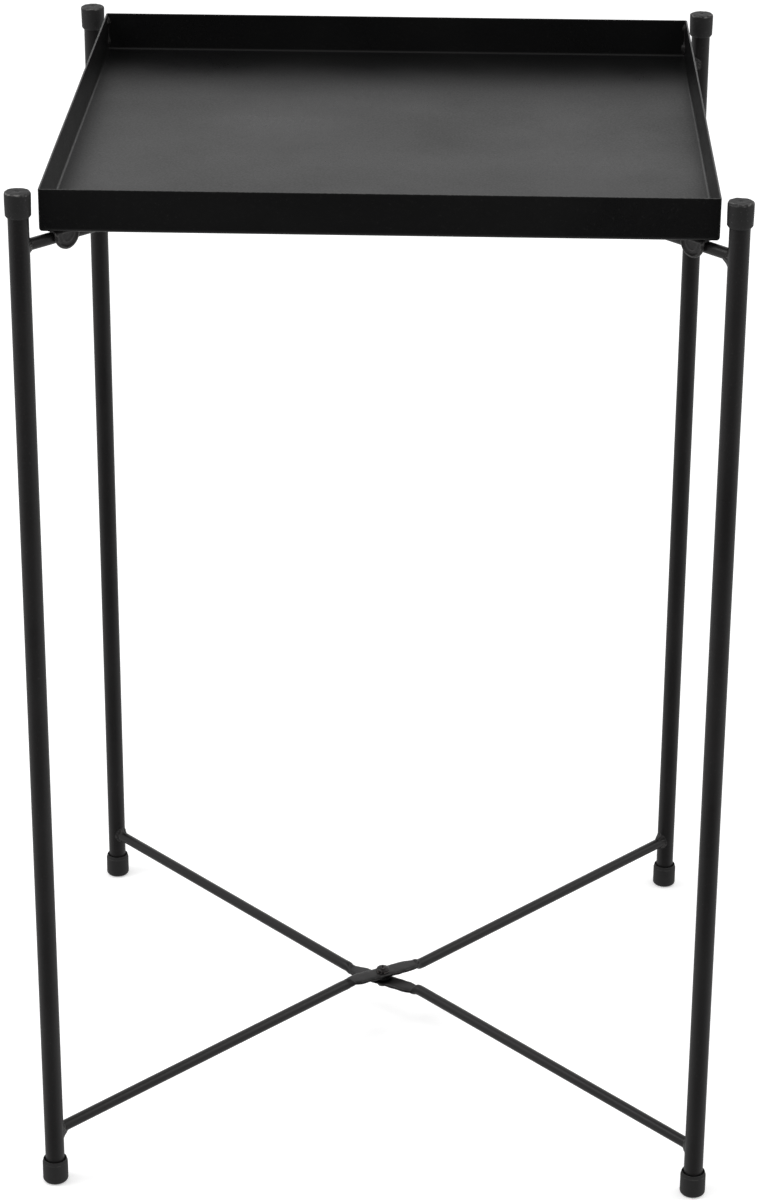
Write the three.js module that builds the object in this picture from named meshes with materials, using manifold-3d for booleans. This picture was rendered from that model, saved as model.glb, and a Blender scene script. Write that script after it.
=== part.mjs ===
// Folding side table: a square sheet-steel tray with four tabs underneath, resting on two leg
// frames that cross in an X and turn about a common upright axis. Each frame is two tube legs
// joined by an upper and a lower crossbar. Every crossbar is a round rod, pressed flat and set
// over in an S where it crosses its partner, so that the folded frames lie side by side.
//
// Millimetres, +Z up. Origin on the floor, on the upright axis through both pivots.
// +X is to the right and +Y to the back; the front edge of the tray faces -Y.

import * as THREE from 'three';
import { mergeVertices } from 'three/addons/utils/BufferGeometryUtils.js';
import Module from 'manifold-3d';

const wasm = await Module();
wasm.setup();

// ---------------------------------------------------------------- driving dimensions

const HEIGHT = 650;                 // floor to the top of the leg caps
const LEG_SPACING = 401;            // between the axes of neighbouring legs, both ways
const GAP = 0.3;                    // left between pieces that touch

const LEG_RADIUS = 6;
const LEG_WALL = 1;

const CAP = { radius: 7.6, rimRadius: 7.2, height: 15, floor: 2, round: 1.4, bevel: 0.35 };
const FOOT = { radius: 8, rimRadius: 7.5, height: 16, floor: 3, round: 1, bevel: 0.35 };

const BAR_RADIUS = 3.5;
const UPPER_BAR_Z = 617.3;
const NEST_OFFSET = 7.8;            // set-over of each half bar from the pivot axis
const BEND_REACH = 26;              // pivot to the bend, along the bar
const BEND_ROUND = 6;               // length of bar used up on each side of a bend
const FLAT_HALF = 25;               // half length of the flattened stretch
const FLAT_RUN_OUT = 4;             // from fully flat back to round
const FLAT_WIDTH = 11.8;
const FLAT_WIDE_HALF = 17;          // half length of the part that has the full width
const FLAT_THICKNESS = 3;
const FLAT_SQUARENESS = 4;          // superellipse power of the flattened section

const WELD = { radius: 5.3, shoulder: 7.2, reach: 9.8, toe: 0.5 };

// At each pivot: the height midway between the two flats, the space between them and the heights
// of the two bars. The upper bars are level, so that the tray sits level, and their flats are set
// down so that the screw clears the tray. The lower flats have a washer between them.
const PIVOTS = {
  upper: { middle: 615.8, flatSpace: GAP, bars: { a: UPPER_BAR_Z, b: UPPER_BAR_Z } },
  lower: { middle: 34.4, flatSpace: 2.3, bars: { a: 35.8, b: 33 } },
};
const SCREW = { shank: 2, headRadius: 4.4, headHeight: 3.2, headRim: 1.2, tip: 0.4 };
const SCREW_SLOT = { length: 4.6, width: 1, depth: 1.5 };
const SCREW_HOLE_RADIUS = 2.4;
const NUT = { acrossFlats: 7, height: 1.6 };
const WASHER_RADIUS = 5;

const TRAY_SIDE = 381;
const TRAY_DEPTH = 25;
const TRAY_RIM_Z = 648;
const SHEET = 1;
const TRAY_BEND = 1.6;              // outside radius where the floor turns up into a wall
const TRAY_CORNER = 1.2;            // outside radius of the upright corners
const TRAY_CORNER_LEAST = 0.2;

const TAB = {
  fromLeg: 30.6,                    // leg axis to the middle of the tab, along the bar
  length: 17.2,                     // along the bar
  thickness: 1.5,
  back: 5.8,                        // bar axis to the outside of the lug
  mouth: 6.5,                       // bar axis to the free end of the flange
  bend: 3,                          // outside radius, flange to lug
  shoulder: 1,                      // bar axis up to where the lug's round outline starts
  drop: 6.6,                        // bar axis down to the lowest point of the lug
};

// ---------------------------------------------------------------- worked-out dimensions

const LEG_REACH = LEG_SPACING / Math.SQRT2;                       // pivot axis to a leg axis
const HALF_BAR = Math.sqrt(LEG_REACH ** 2 - NEST_OFFSET ** 2);    // the same, along the bar
const BAR_TURN = Math.asin(NEST_OFFSET / LEG_REACH);              // bar from its own diagonal
const TRAY_UNDERSIDE = TRAY_RIM_Z - TRAY_DEPTH;
const PAST = 10;                    // how far a cutting tool runs past what it cuts

// ---------------------------------------------------------------- finishes

const finish = (color, roughness, metalness) =>
  new THREE.MeshStandardMaterial({ color, roughness, metalness });

const powderCoat = () => finish(0x19191a, 0.45, 0.1);
const trayCoat = () => finish(0x161617, 0.36, 0.1);
const softPlastic = () => finish(0x242425, 0.62, 0);
const blackSteel = () => finish(0x1f1e1e, 0.35, 0.6);

// ---------------------------------------------------------------- solids

function merged(geometry) {
  geometry.deleteAttribute('normal');
  geometry.deleteAttribute('uv');
  return mergeVertices(geometry, 1e-4);
}

function toSolid(geometry) {
  const clean = merged(geometry);
  return new wasm.Manifold(new wasm.Mesh({
    numProp: 3,
    vertProperties: new Float32Array(clean.attributes.position.array),
    triVerts: new Uint32Array(clean.index.array),
  }));
}

function toGeometry(solid) {
  const mesh = solid.getMesh();
  const geometry = new THREE.BufferGeometry();
  geometry.setAttribute('position', new THREE.BufferAttribute(mesh.vertProperties, 3));
  geometry.setIndex(new THREE.BufferAttribute(mesh.triVerts, 1));
  return geometry;
}

function cut(geometry, ...cutters) {
  return toGeometry(cutters.reduce((rest, tool) => rest.subtract(toSolid(tool)),
    toSolid(geometry)));
}

// A turned piece about +Z, from [radius, height] pairs.
function turned(profile, sides) {
  const points = profile.map(([radius, height]) => new THREE.Vector2(radius, height));
  return merged(new THREE.LatheGeometry(points, sides).rotateX(Math.PI / 2));
}

function upright(radius, low, high, sides) {
  return new THREE.CylinderGeometry(radius, radius, high - low, sides)
    .rotateX(Math.PI / 2).translate(0, 0, (low + high) / 2);
}

// A skin over rings with the same number of points, closed by a fan at each end. The rings run
// so that the points turn anticlockwise when looked at from where the rings are going.
function lofted(rings) {
  const count = rings[0].length;
  const middle = (ring) => ring
    .reduce((sum, point) => sum.add(point), new THREE.Vector3())
    .divideScalar(count);
  const points = [...rings.flat(), middle(rings[0]), middle(rings.at(-1))];
  const first = rings.length * count;
  const last = first + 1;
  const end = (rings.length - 1) * count;
  const index = [];
  for (let side = 0; side < count; side += 1) {
    const next = (side + 1) % count;
    for (let low = 0; low < end; low += count) {
      const high = low + count;
      index.push(low + side, low + next, high + next);
      index.push(low + side, high + next, high + side);
    }
    index.push(first, next, side);
    index.push(last, end + side, end + next);
  }
  const geometry = new THREE.BufferGeometry().setFromPoints(points);
  geometry.setIndex(index);
  return geometry;
}

// An arc's points for a turned profile, from one angle to another in degrees.
function arc(x, y, radius, from, to, steps) {
  return Array.from({ length: steps + 1 }, (_, step) => {
    const angle = THREE.MathUtils.degToRad(from + (to - from) * step / steps);
    return [x + radius * Math.cos(angle), y + radius * Math.sin(angle)];
  });
}

// ---------------------------------------------------------------- legs, caps and feet

const LEG_SIDES = 24;
const LEG_LOW = FOOT.floor + GAP;
const LEG_HIGH = HEIGHT - CAP.floor - GAP;

function legTube() {
  const bore = LEG_RADIUS - LEG_WALL;
  return turned([[bore, LEG_LOW], [LEG_RADIUS, LEG_LOW], [LEG_RADIUS, LEG_HIGH],
    [bore, LEG_HIGH], [bore, LEG_LOW]], LEG_SIDES);
}

// A push-on cup that stands mouth up, its closed end at height 0.
function cup({ radius, rimRadius, height, floor, round, bevel }) {
  const bore = LEG_RADIUS + GAP;
  return turned([
    [0, 0],
    ...arc(radius - round, round, round, 270, 360, 3),
    [rimRadius, height - bevel],
    [rimRadius - bevel, height],
    [bore, height],
    [bore, floor],
    [0, floor],
  ], LEG_SIDES);
}

const foot = () => cup(FOOT);
const cap = () => cup(CAP).rotateX(Math.PI).translate(0, 0, HEIGHT);

// ---------------------------------------------------------------- crossbars

const BAR_SIDES = 16;
const SCREW_SIDES = 24;

// The centre line in plan: straight from each leg, a bend, and a straight across the pivot.
function barLine(side) {
  const bend = (end) => new THREE.Vector3(end * BEND_REACH, -side * end * NEST_OFFSET, 0);
  const outer = (end) => bend(end).add(new THREE.Vector3(end * BEND_ROUND, 0, 0));
  const inner = (end) => bend(end).multiplyScalar(1 - BEND_ROUND / bend(end).length());
  const tip = (end) => new THREE.Vector3(end * HALF_BAR, -side * end * NEST_OFFSET, 0);
  const line = new THREE.CurvePath();
  line.add(new THREE.LineCurve3(tip(-1), outer(-1)));
  line.add(new THREE.QuadraticBezierCurve3(outer(-1), bend(-1), inner(-1)));
  line.add(new THREE.LineCurve3(inner(-1), inner(1)));
  line.add(new THREE.QuadraticBezierCurve3(inner(1), bend(1), outer(1)));
  line.add(new THREE.LineCurve3(outer(1), tip(1)));
  return line;
}

// Where the rings stand, as distances from the pivot along the centre line.
function stations(halfLength) {
  const steps = [1, 2, 3, 4];
  const bendStart = BEND_REACH - BEND_ROUND;
  const half = [
    bendStart / 2,
    FLAT_WIDE_HALF,
    bendStart,
    (bendStart + FLAT_HALF) / 2,
    FLAT_HALF,
    ...steps.map((step) => FLAT_HALF + FLAT_RUN_OUT * step / steps.length),
    halfLength,
  ];
  const sorted = half.sort((a, b) => a - b);
  return [...sorted.map((distance) => -distance).reverse(), 0, ...sorted];
}

function barSection(wideness, flatness) {
  const width = THREE.MathUtils.lerp(BAR_RADIUS, FLAT_WIDTH / 2, wideness);
  const height = THREE.MathUtils.lerp(BAR_RADIUS, FLAT_THICKNESS / 2, flatness);
  const power = 2 / THREE.MathUtils.lerp(2, FLAT_SQUARENESS, flatness);
  const bent = (value) => Math.sign(value) * Math.abs(value) ** power;
  return Array.from({ length: BAR_SIDES }, (_, step) => {
    const angle = 2 * Math.PI * (step + 0.5) / BAR_SIDES;
    return [width * bent(Math.cos(angle)), height * bent(Math.sin(angle))];
  });
}

// side is 1 for the frame whose flats lie on top at both pivots, and -1 for its mirror image.
// lift is how far the flattened stretch is set off the height of the rest of the bar.
function crossbar(side, lift) {
  const line = barLine(side);
  const halfLength = line.getLength() / 2;
  const rings = stations(halfLength).map((distance) => {
    const along = (distance + halfLength) / (2 * halfLength);
    const centre = line.getPointAt(along);
    const ahead = line.getTangentAt(along);
    const across = new THREE.Vector3(-ahead.y, ahead.x, 0);
    const fade = (from) => 1 - THREE.MathUtils.smoothstep(
      Math.abs(distance), from, FLAT_HALF + FLAT_RUN_OUT);
    const flatness = fade(FLAT_HALF);
    return barSection(fade(FLAT_WIDE_HALF), flatness).map(([sideways, up]) => centre.clone()
      .addScaledVector(across, sideways)
      .setZ(up + lift * flatness));
  });
  const leg = (end) => upright(LEG_RADIUS + GAP, -PAST, PAST, LEG_SIDES)
    .translate(end * HALF_BAR, -side * end * NEST_OFFSET, 0);
  const screwHole = upright(SCREW_HOLE_RADIUS, -PAST, PAST, SCREW_SIDES);
  return cut(lofted(rings), leg(-1), leg(1), screwHole);
}

// The weld round a bar's end, against the leg at the origin, with the bar running along -X.
function weldBead() {
  const bore = BAR_RADIUS + GAP;
  const bead = turned([
    [bore, 0], [WELD.radius, 0], [WELD.radius, WELD.shoulder],
    [bore + WELD.toe, WELD.reach], [bore, WELD.reach], [bore, 0],
  ], BAR_SIDES).rotateY(-Math.PI / 2);
  return cut(bead, upright(LEG_RADIUS + GAP, -PAST, PAST, LEG_SIDES),
    new THREE.BoxGeometry(PAST, 2 * PAST, 2 * PAST).translate(PAST / 2, 0, 0));
}

// ---------------------------------------------------------------- pivot screws and nuts

// Heights are measured from midway between the two flats.
const flatMiddle = ({ flatSpace }) => (FLAT_THICKNESS + flatSpace) / 2;
const headUnderside = (pivot) => pivot.flatSpace / 2 + FLAT_THICKNESS + GAP;

function pivotScrew(pivot) {
  const { shank, headRadius, headHeight, headRim, tip } = SCREW;
  const crown = headHeight - headRim;
  const dome = (headRadius ** 2 + crown ** 2) / (2 * crown);
  const sweep = THREE.MathUtils.radToDeg(Math.asin(headRadius / dome));
  const under = headUnderside(pivot);
  const top = under + headHeight;
  const end = -under - NUT.height - tip;
  const screw = turned([
    [0, end],
    [shank, end],
    [shank, under],
    [headRadius, under],
    ...arc(0, top - dome, dome, 90 - sweep, 90, 4).slice(0, -1),
    [0, top],
  ], SCREW_SIDES);
  const { length, width, depth } = SCREW_SLOT;
  const slot = (x, y) => new THREE.BoxGeometry(x, y, 2 * depth).translate(0, 0, top);
  return cut(screw, slot(length, width), slot(width, length));
}

const shankHole = () => upright(SCREW.shank + GAP, -2 * PAST, 2 * PAST, SCREW_SIDES);

function pivotNut(pivot) {
  const corner = NUT.acrossFlats / Math.sqrt(3);
  const top = -headUnderside(pivot);
  return cut(upright(corner, top - NUT.height, top, 6).rotateZ(Math.PI / 6), shankHole());
}

function pivotWasher({ flatSpace }) {
  const half = flatSpace / 2 - GAP;
  return cut(upright(WASHER_RADIUS, -half, half, SCREW_SIDES), shankHole());
}

// ---------------------------------------------------------------- tray

function squareRing(half, z, cornerRadius) {
  const middle = half - cornerRadius;
  return [[1, 1, 0], [-1, 1, 90], [-1, -1, 180], [1, -1, 270]].flatMap(([x, y, from]) =>
    arc(x * middle, y * middle, cornerRadius, from, from + 90, 3)
      .map(([px, py]) => new THREE.Vector3(px, py, z)));
}

// The floor's underside, round the bend, up the outside, over the rim and down the inside.
function trayPan() {
  const half = TRAY_SIDE / 2;
  const inside = half - SHEET;
  const outerBend = arc(half - TRAY_BEND, TRAY_UNDERSIDE + TRAY_BEND, TRAY_BEND, 270, 360, 3);
  const innerBend = arc(half - TRAY_BEND, TRAY_UNDERSIDE + TRAY_BEND, TRAY_BEND - SHEET,
    360, 270, 3);
  const path = [...outerBend, [half, TRAY_RIM_Z], [inside, TRAY_RIM_Z], ...innerBend];
  return lofted(path.map(([reach, z]) =>
    squareRing(reach, z, Math.max(TRAY_CORNER - (half - reach), TRAY_CORNER_LEAST))));
}

// An angle tab: the flange lies under the tray and over the bar, and the half-round lug hangs
// down beside the bar. +X is the flange's free side, +Y runs along the bar, height 0 is its axis.
function trayTab() {
  const { length, thickness, back, mouth, bend, shoulder, drop } = TAB;
  const top = TRAY_UNDERSIDE - GAP - UPPER_BAR_Z;
  const section = [
    [mouth, top],
    ...arc(bend - back, top - bend, bend, 90, 180, 4),
    [-back, -drop - PAST],
    [thickness - back, -drop - PAST],
    ...arc(bend - back, top - bend, bend - thickness, 180, 90, 4),
    [mouth, top - thickness],
  ].map(([x, z]) => new THREE.Vector2(x, z));
  const strip = new THREE.ExtrudeGeometry(new THREE.Shape(section),
    { depth: length, bevelEnabled: false })
    .rotateX(Math.PI / 2).translate(0, length / 2, 0);
  const outline = new THREE.Shape();
  outline.moveTo(length / 2, top + PAST);
  outline.lineTo(-length / 2, top + PAST);
  outline.absellipse(0, shoulder, length / 2, shoulder + drop, Math.PI, 2 * Math.PI);
  const face = new THREE.ExtrudeGeometry(outline,
    { depth: 2 * (mouth + PAST), bevelEnabled: false, curveSegments: 20 })
    .translate(0, 0, -mouth - PAST).rotateX(Math.PI / 2).rotateZ(Math.PI / 2);
  return toGeometry(toSolid(strip).intersect(toSolid(face)));
}

// ---------------------------------------------------------------- assembly

const table = new THREE.Group();

function place(parent, name, geometry, material, x = 0, y = 0, z = 0, turn = 0) {
  const mesh = new THREE.Mesh(geometry, material);
  mesh.name = name;
  mesh.position.set(x, y, z);
  mesh.rotation.z = turn;
  parent.add(mesh);
}

const FRAMES = [
  { name: 'a', side: 1, corners: { '-1': 'front_left', '1': 'back_right' } },
  { name: 'b', side: -1, corners: { '-1': 'front_right', '1': 'back_left' } },
];

// Each frame lies along its own X axis and is turned onto its diagonal of the square.
for (const { name, side, corners } of FRAMES) {
  const frame = new THREE.Group();
  frame.rotation.z = Math.PI / 2 - side * (Math.PI / 4 - BAR_TURN);
  table.add(frame);

  for (const [level, pivot] of Object.entries(PIVOTS)) {
    const height = pivot.bars[name];
    const lift = pivot.middle + side * flatMiddle(pivot) - height;
    place(frame, `crossbar_${name}_${level}`, crossbar(side, lift), powderCoat(), 0, 0, height);
  }
  for (const end of [-1, 1]) {
    const corner = corners[end];
    const x = end * HALF_BAR;
    const y = -side * end * NEST_OFFSET;
    const turn = end > 0 ? 0 : Math.PI;
    place(frame, `leg_${corner}`, legTube(), powderCoat(), x, y);
    place(frame, `cap_${corner}`, cap(), softPlastic(), x, y);
    place(frame, `foot_${corner}`, foot(), softPlastic(), x, y);
    for (const [level, pivot] of Object.entries(PIVOTS)) {
      place(frame, `weld_${corner}_${level}`, weldBead(), powderCoat(),
        x, y, pivot.bars[name], turn);
    }
    // The lugs hang on the bars' front sides at the front, and on their back sides at the back.
    place(frame, `tray_tab_${corner}`, trayTab(), trayCoat(),
      end * (HALF_BAR - TAB.fromLeg), y, UPPER_BAR_Z, -side * end * Math.PI / 2);
  }
}

for (const [level, pivot] of Object.entries(PIVOTS)) {
  const height = pivot.middle;
  place(table, `pivot_screw_${level}`, pivotScrew(pivot), blackSteel(), 0, 0, height);
  place(table, `pivot_nut_${level}`, pivotNut(pivot), blackSteel(), 0, 0, height);
}
const { lower } = PIVOTS;
place(table, 'pivot_washer_lower', pivotWasher(lower), softPlastic(), 0, 0, lower.middle);
place(table, 'tray_pan', trayPan(), trayCoat());

export default table;
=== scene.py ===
import math
import random

import bmesh
import bpy
from mathutils import Matrix, Vector, noise


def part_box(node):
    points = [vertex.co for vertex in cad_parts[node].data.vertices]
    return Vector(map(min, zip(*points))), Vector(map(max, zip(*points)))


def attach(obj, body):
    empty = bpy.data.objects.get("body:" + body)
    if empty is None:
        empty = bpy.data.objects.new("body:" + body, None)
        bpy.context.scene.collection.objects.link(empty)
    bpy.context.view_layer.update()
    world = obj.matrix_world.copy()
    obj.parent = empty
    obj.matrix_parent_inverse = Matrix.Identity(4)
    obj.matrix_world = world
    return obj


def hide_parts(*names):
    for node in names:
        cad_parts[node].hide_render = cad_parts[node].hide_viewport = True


# A folding side table: a square tray of folded sheet steel, lying on two welded frames, each of
# two tube legs and two round bars, that cross in an X and fold about an upright axis. Shapes are
# worked out in millimetres, about the same origin as the frame, and become metres when a piece is
# made.

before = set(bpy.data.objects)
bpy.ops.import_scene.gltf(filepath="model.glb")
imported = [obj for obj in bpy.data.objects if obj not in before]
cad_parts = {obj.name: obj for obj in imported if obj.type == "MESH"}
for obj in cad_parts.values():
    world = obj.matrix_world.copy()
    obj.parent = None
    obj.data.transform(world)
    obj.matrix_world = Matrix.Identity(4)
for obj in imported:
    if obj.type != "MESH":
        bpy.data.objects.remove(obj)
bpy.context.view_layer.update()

MM = 0.001


def middle(node):
    """The middle of a node's box."""
    low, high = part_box(node)
    return (low + high) / (2 * MM)


def reach(node):
    """Half the size of a node's box."""
    low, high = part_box(node)
    return (high - low) / (2 * MM)


# ------------------------------------------------------------------ sizes, in millimetres

LEG_RADIUS = reach("leg_front_left").x
LEG_WALL = 1.0
LEG_SIDES = 96

BAR_RADIUS = 3.5
BAR_SIDES = 48
NEST_OFFSET = 7.8          # set-over of each half bar from the pivot axis
BEND_REACH = 26.0          # pivot to the bend, along the bar
BEND_ROUND = 6.0
FLAT_HALF = 25.0           # half length of the flattened stretch
FLAT_RUN_OUT = 4.0
FLAT_WIDTH = 11.8
FLAT_WIDE_HALF = 17.0
FLAT_THICKNESS = 3.0
FLAT_SQUARENESS = 4.0
PRESS_STEP = 1.6           # length over which the pressed flat meets the round rod

TOUCH = 0.3                # the frame's space between pieces that touch
SEAT = 0.06                # the space shown between a screw, nut or washer and what it bears on
FLAT_SPACE = {"upper": TOUCH, "lower": 2.3}

SHEET = 1.0
INNER_BEND = 1.5           # inside radius where the tray's floor turns up
OUTER_BEND = INNER_BEND + SHEET
TRAY_CORNER = 1.2          # outside radius of the upright corners
LEAST_CORNER = 0.25

TAB_LENGTH = 17.9          # along the bar
TAB_THICKNESS = 1.5
TAB_BACK = 5.8             # bar axis to the outside of the lug
TAB_MOUTH = 6.5            # bar axis to the free end of the flange
TAB_BEND = 3.0
TAB_SHOULDER = 2.6         # bar axis up to where the lug's round outline starts
TAB_DROP = 6.6             # bar axis down to the lowest point of the lug
TAB_FROM_LEG = 30.6        # leg axis to the middle of the tab, along the bar
TAB_WELDS = ((5.6, 1.5), (1.8, 1.3))    # middle of the tab towards the leg, and size

HEAD_RADIUS = 4.4
HEAD_HEIGHT = 3.2
NUT_ACROSS = 7.0

CORNERS = {
    # corner: (frame, side, end): side 1 is the frame whose flats lie on top
    "front_left": ("a", 1, -1),
    "back_right": ("a", 1, 1),
    "front_right": ("b", -1, -1),
    "back_left": ("b", -1, 1),
}
LEVELS = ("upper", "lower")

LEG_REACH = math.hypot(middle("leg_front_left").x, middle("leg_front_left").y)
HALF_BAR = math.sqrt(LEG_REACH ** 2 - NEST_OFFSET ** 2)     # along a bar, to the leg's axis
BAR_TURN = math.asin(NEST_OFFSET / LEG_REACH)               # a bar against its legs' diagonal


def frame_matrix(side):
    """From a leg frame's own axes, with its bars along X, to the table's."""
    return Matrix.Rotation(math.pi / 2 - side * (math.pi / 4 - BAR_TURN), 4, "Z")


def bar_height(name, level):
    """The height of a frame's bar axis, away from its flat."""
    corner = "front_left" if name == "a" else "front_right"
    return middle(f"weld_{corner}_{level}").z


def flats_middle(level):
    """The height midway between the two flats of a pivot."""
    nut_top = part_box(f"pivot_nut_{level}")[1].z / MM
    return nut_top + TOUCH + FLAT_THICKNESS + FLAT_SPACE[level] / 2


# ------------------------------------------------------------------ mesh helpers

SHARP = math.radians(40)
WEAR_AND_HIGHLIGHT_FROM = 0.35           # curvature, per millimetre, where an edge starts to wear, and on caps and screws to carry a painted highlight
WEAR_AND_HIGHLIGHT_FULL = 1.6


def arc(x, y, radius, start, end, steps):
    """Points of an arc in the plane, angles in degrees."""
    angles = [math.radians(start + (end - start) * i / steps) for i in range(steps + 1)]
    return [(x + radius * math.cos(a), y + radius * math.sin(a)) for a in angles]


def smoothstep(low, high, value):
    share = min(max((value - low) / (high - low), 0.0), 1.0)
    return share * share * (3 - 2 * share)


def lerp(a, b, share):
    return a + (b - a) * share


def wobble(point, size, seed=0.0):
    """A smooth random value from about -1 to 1 that varies over this many millimetres."""
    return noise.noise(Vector(point) / size + Vector((seed, seed * 1.7, seed * 0.6)))


def skin(rings, closed=False):
    """Faces over rings of equal length, with a lid at each end or closed on themselves."""
    count = len(rings[0])
    points = [point for ring in rings for point in ring]
    faces = []
    for row in range(len(rings) if closed else len(rings) - 1):
        after = (row + 1) % len(rings)
        for column in range(count):
            side = (column + 1) % count
            faces.append((row * count + column, row * count + side,
                          after * count + side, after * count + column))
    if not closed:
        faces.append(tuple(reversed(range(count))))
        faces.append(tuple(range((len(rings) - 1) * count, len(rings) * count)))
    return points, faces


def turned(profile, sides):
    """A turned shape about Z, from (radius, height) points that start and end on the axis or
    close on themselves."""
    rings = []
    for step in range(sides):
        angle = 2 * math.pi * step / sides
        rings.append([(r * math.cos(angle), r * math.sin(angle), z) for r, z in profile])
    return skin(rings, closed=True)


def edge_curvature(edge):
    """The angle across an edge over the distance between its two faces, positive outward."""
    if len(edge.link_faces) != 2:
        return 0.0
    one, two = edge.link_faces
    apart = (one.calc_center_median() - two.calc_center_median()).length / MM
    return edge.calc_face_angle_signed(0.0) / max(apart, 0.05)


def mark_wear_and_highlight(mesh):
    """Stores how sharply the surface turns outward at each point, for the wear on edges and, on
    caps and screws, a painted highlight there.
    """
    shape = bmesh.new()
    shape.from_mesh(mesh)
    values = []
    for vertex in shape.verts:
        bends = [edge_curvature(edge) for edge in vertex.link_edges]
        strongest = max(bends, default=0.0)
        values.append(smoothstep(WEAR_AND_HIGHLIGHT_FROM, WEAR_AND_HIGHLIGHT_FULL, strongest))
    shape.free()
    attribute = mesh.attributes.new("wear_and_highlight", "FLOAT", "POINT")
    attribute.data.foreach_set("value", values)


def clear_wear_and_highlight(mesh, where):
    """Takes the wear and painted highlight off the points that a test on their place, in
    millimetres, picks out.
    """
    wear_and_highlight = mesh.attributes["wear_and_highlight"].data
    for vertex in mesh.vertices:
        if where(vertex.co / MM):
            wear_and_highlight[vertex.index].value = 0.0


def mark_painted_shade(mesh, amount_at):
    """Stores how much painted shade lies at each point, from its place in millimetres."""
    attribute = mesh.attributes.new("painted_shade", "FLOAT", "POINT")
    attribute.data.foreach_set("value", [amount_at(v.co / MM) for v in mesh.vertices])


def finish_mesh(mesh):
    """Joins doubled points, turns the faces outward, and sets smooth and sharp edges and the mask
    for wear and painted highlight.
    """
    shape = bmesh.new()
    shape.from_mesh(mesh)
    bmesh.ops.remove_doubles(shape, verts=shape.verts, dist=0.002 * MM)
    bmesh.ops.dissolve_degenerate(shape, edges=shape.edges, dist=0.001 * MM)
    bmesh.ops.recalc_face_normals(shape, faces=shape.faces)
    shape.to_mesh(mesh)
    shape.free()
    for face in mesh.polygons:
        face.use_smooth = True
    mesh.set_sharp_from_angle(angle=SHARP)
    mark_wear_and_highlight(mesh)


def make_object(name, shape, place=None):
    """An object of points in millimetres and faces, with its points moved to their place."""
    points, faces = shape
    place = place or Matrix.Identity(4)
    mesh = bpy.data.meshes.new(name)
    mesh.from_pydata([(place @ Vector(point)) * MM for point in points], [], faces)
    obj = bpy.data.objects.new(name, mesh)
    bpy.context.scene.collection.objects.link(obj)
    return obj


def piece(node, obj, material, body, nodes=None):
    """Finishes a mesh, and has it ride on a body in place of its CAD nodes."""
    finish_mesh(obj.data)
    obj.name = f"shown_{node}"
    obj.data.materials.append(material)
    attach(obj, body)
    replaced = [node] if nodes is None else nodes
    if replaced:
        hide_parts(*replaced)
    return obj


def carve(obj, cutter):
    """Cuts one object out of another, and removes the cutter."""
    boolean = obj.modifiers.new("carve", "BOOLEAN")
    boolean.operation = "DIFFERENCE"
    boolean.solver = "EXACT"
    boolean.object = cutter
    bpy.context.view_layer.update()
    evaluated = obj.evaluated_get(bpy.context.evaluated_depsgraph_get())
    mesh = bpy.data.meshes.new_from_object(evaluated)
    obj.modifiers.clear()
    obj.data = mesh
    bpy.data.objects.remove(cutter)


# ------------------------------------------------------------------ materials

def new_material(name):
    material = bpy.data.materials.new(name)
    material.use_nodes = True
    nodes, links = material.node_tree.nodes, material.node_tree.links
    shader = nodes["Principled BSDF"]
    return material, nodes, links, shader


def noise_node(nodes, links, scale, detail=2.0, roughness=0.5, stretch=None):
    """A noise over the object's own coordinates, in lumps per metre."""
    where = nodes.new("ShaderNodeTexCoord")
    texture = nodes.new("ShaderNodeTexNoise")
    texture.inputs["Scale"].default_value = scale
    texture.inputs["Detail"].default_value = detail
    texture.inputs["Roughness"].default_value = roughness
    source = where.outputs["Object"]
    if stretch:
        mapping = nodes.new("ShaderNodeMapping")
        mapping.inputs["Scale"].default_value = stretch
        links.new(source, mapping.inputs["Vector"])
        source = mapping.outputs["Vector"]
    links.new(source, texture.inputs["Vector"])
    return texture.outputs["Fac"]


def ranged(nodes, links, value, low, high, to_low, to_high):
    """A value moved from one range to another, and held within it."""
    remap = nodes.new("ShaderNodeMapRange")
    for name, number in (("From Min", low), ("From Max", high),
                         ("To Min", to_low), ("To Max", to_high)):
        remap.inputs[name].default_value = number
    links.new(value, remap.inputs["Value"])
    return remap.outputs["Result"]


def multiplied(nodes, links, one, two):
    node = nodes.new("ShaderNodeMath")
    node.operation = "MULTIPLY"
    links.new(one, node.inputs[0])
    links.new(two, node.inputs[1])
    return node.outputs["Value"]


def mixed(nodes, links, share, one, two):
    """A colour between two, each a colour or another mix's output."""
    node = nodes.new("ShaderNodeMix")
    node.data_type = "RGBA"
    links.new(share, node.inputs["Factor"])
    first, second, result = node.inputs[6], node.inputs[7], node.outputs[2]
    for socket, colour in ((first, one), (second, two)):
        if isinstance(colour, bpy.types.NodeSocket):
            links.new(colour, socket)
        else:
            socket.default_value = (*colour, 1.0)
    return result


# Painted shade: the dark, dull colour painted into the gap between a pivot's two flats, where the
# upper flat shadows the lower.
PAINTED_SHADE = (0.0012, 0.0011, 0.0011)
PAINTED_SHADE_SPECULAR = 0.04


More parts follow.
